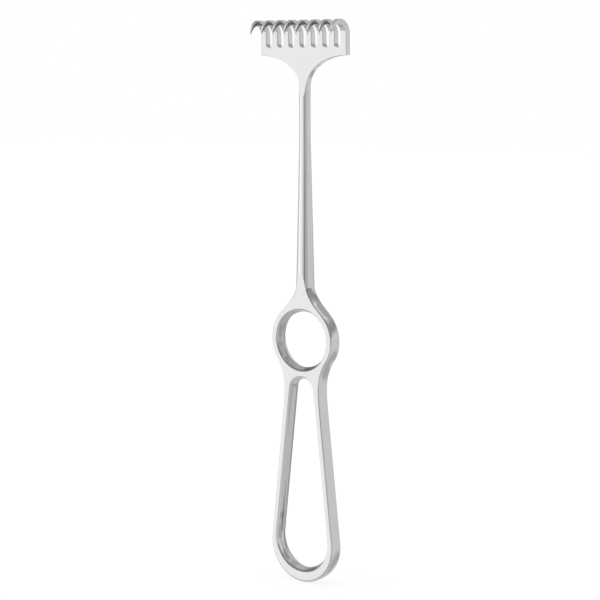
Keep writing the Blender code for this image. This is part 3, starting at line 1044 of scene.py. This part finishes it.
def make_camera():
    """Camera at the photograph's viewing angle."""
    studio = settings().studio
    data = bpy.data.cameras.new("camera")
    data.sensor_width = 36.0
    data.lens = studio.focal
    data.clip_start = 0.05
    data.clip_end = 20.0
    camera = bpy.data.objects.new("camera", data)
    bpy.context.collection.objects.link(camera)
    back = direction_to(math.degrees(studio.azimuth), math.degrees(studio.elevation))
    right = Vector((math.cos(studio.azimuth), math.sin(studio.azimuth), 0.0))
    up = back.cross(right)
    sin_roll, cos_roll = math.sin(studio.roll), math.cos(studio.roll)
    turned_right = right * cos_roll + up * sin_roll
    turned_up = up * cos_roll - right * sin_roll
    place = Vector((studio.look_x, MID_PLANE, studio.look_z)) + back * studio.distance
    axes = Matrix((turned_right, turned_up, back)).transposed().to_4x4()
    camera.matrix_world = Matrix.Translation(place) @ axes
    bpy.context.scene.camera = camera


# Operators and panel

class RETRACTOR_OT_forging(bpy.types.Operator):
    """Build the forging: loop, ring, shaft, neck and rake plate"""

    bl_idname = "retractor.forging"
    bl_label = "Build Forging"

    def execute(self, context):
        bm = bmesh.new()
        add_handle(bm)
        add_loft(bm, shaft_rows(), False)
        add_plate(bm)
        make_piece("retractor_forging", bm, ["handle_loop", "finger_ring", "shaft", "neck", "rake_plate"])
        return {"FINISHED"}


class RETRACTOR_OT_prongs(bpy.types.Operator):
    """Build the sharp prongs on the rake plate"""

    bl_idname = "retractor.prongs"
    bl_label = "Build Prongs"

    def execute(self, context):
        for number, centre in enumerate(prong_centres(), start=1):
            bm = bmesh.new()
            rows = prong_rows()
            add_loft(bm, rows, True)
            # Painted shade on the prong's point and on the sides that face another prong
            paint_prong_shade(bm, len(rows[0]), number > 1, number < settings().rake.prongs)
            bmesh.ops.translate(bm, verts=bm.verts, vec=(centre, 0.0, 0.0))
            make_piece(f"sharp_prong_{number}", bm, [f"prong_{number}"])
        return {"FINISHED"}


class RETRACTOR_OT_stage(bpy.types.Operator):
    """Set up the floor, the light and the camera"""

    bl_idname = "retractor.stage"
    bl_label = "Set Up Stage"

    def execute(self, context):
        make_world()
        make_floor()
        make_tent()
        make_sun("key_light", azimuth=-40.0, elevation=55.0, spread=70.0, strength=0.7)
        make_sun("fill_light", azimuth=70.0, elevation=60.0, spread=90.0, strength=0.3)
        make_camera()
        context.scene.view_settings.view_transform = "Standard"
        return {"FINISHED"}


class RETRACTOR_PT_panel(bpy.types.Panel):
    """Retractor sizes, finish and stage"""

    bl_idname = "RETRACTOR_PT_panel"
    bl_label = "Rake Retractor"
    bl_space_type = "VIEW_3D"
    bl_region_type = "UI"
    bl_category = "Retractor"

    def draw(self, context):
        layout = self.layout
        for group in GROUPS:
            box = layout.box()
            box.label(text=group.replace("retractor_", "").title())
            for name in getattr(context.scene, group).bl_rna.properties.keys():
                if name not in ("rna_type", "name"):
                    box.prop(getattr(context.scene, group), name)
        for operator in OPERATORS:
            layout.operator(operator.bl_idname)


GROUPS = {
    "retractor_handle": HandleSizes,
    "retractor_shaft": ShaftSizes,
    "retractor_rake": RakeSizes,
    "retractor_finish": SteelFinish,
    "retractor_studio": StudioSettings,
}
OPERATORS = (RETRACTOR_OT_forging, RETRACTOR_OT_prongs, RETRACTOR_OT_stage)
CLASSES = (*GROUPS.values(), *OPERATORS, RETRACTOR_PT_panel)


def register():
    """Register the classes and the settings."""
    for item in CLASSES:
        bpy.utils.register_class(item)
    for name, group in GROUPS.items():
        setattr(bpy.types.Scene, name, PointerProperty(type=group))


def unregister():
    """Remove the settings and the classes."""
    for name in GROUPS:
        delattr(bpy.types.Scene, name)
    for item in reversed(CLASSES):
        bpy.utils.unregister_class(item)


def main():
    """Build the pieces and the stage in order."""
    register()
    bpy.ops.retractor.forging()
    bpy.ops.retractor.prongs()
    bpy.ops.retractor.stage()


if __name__ == "__main__":
    main()
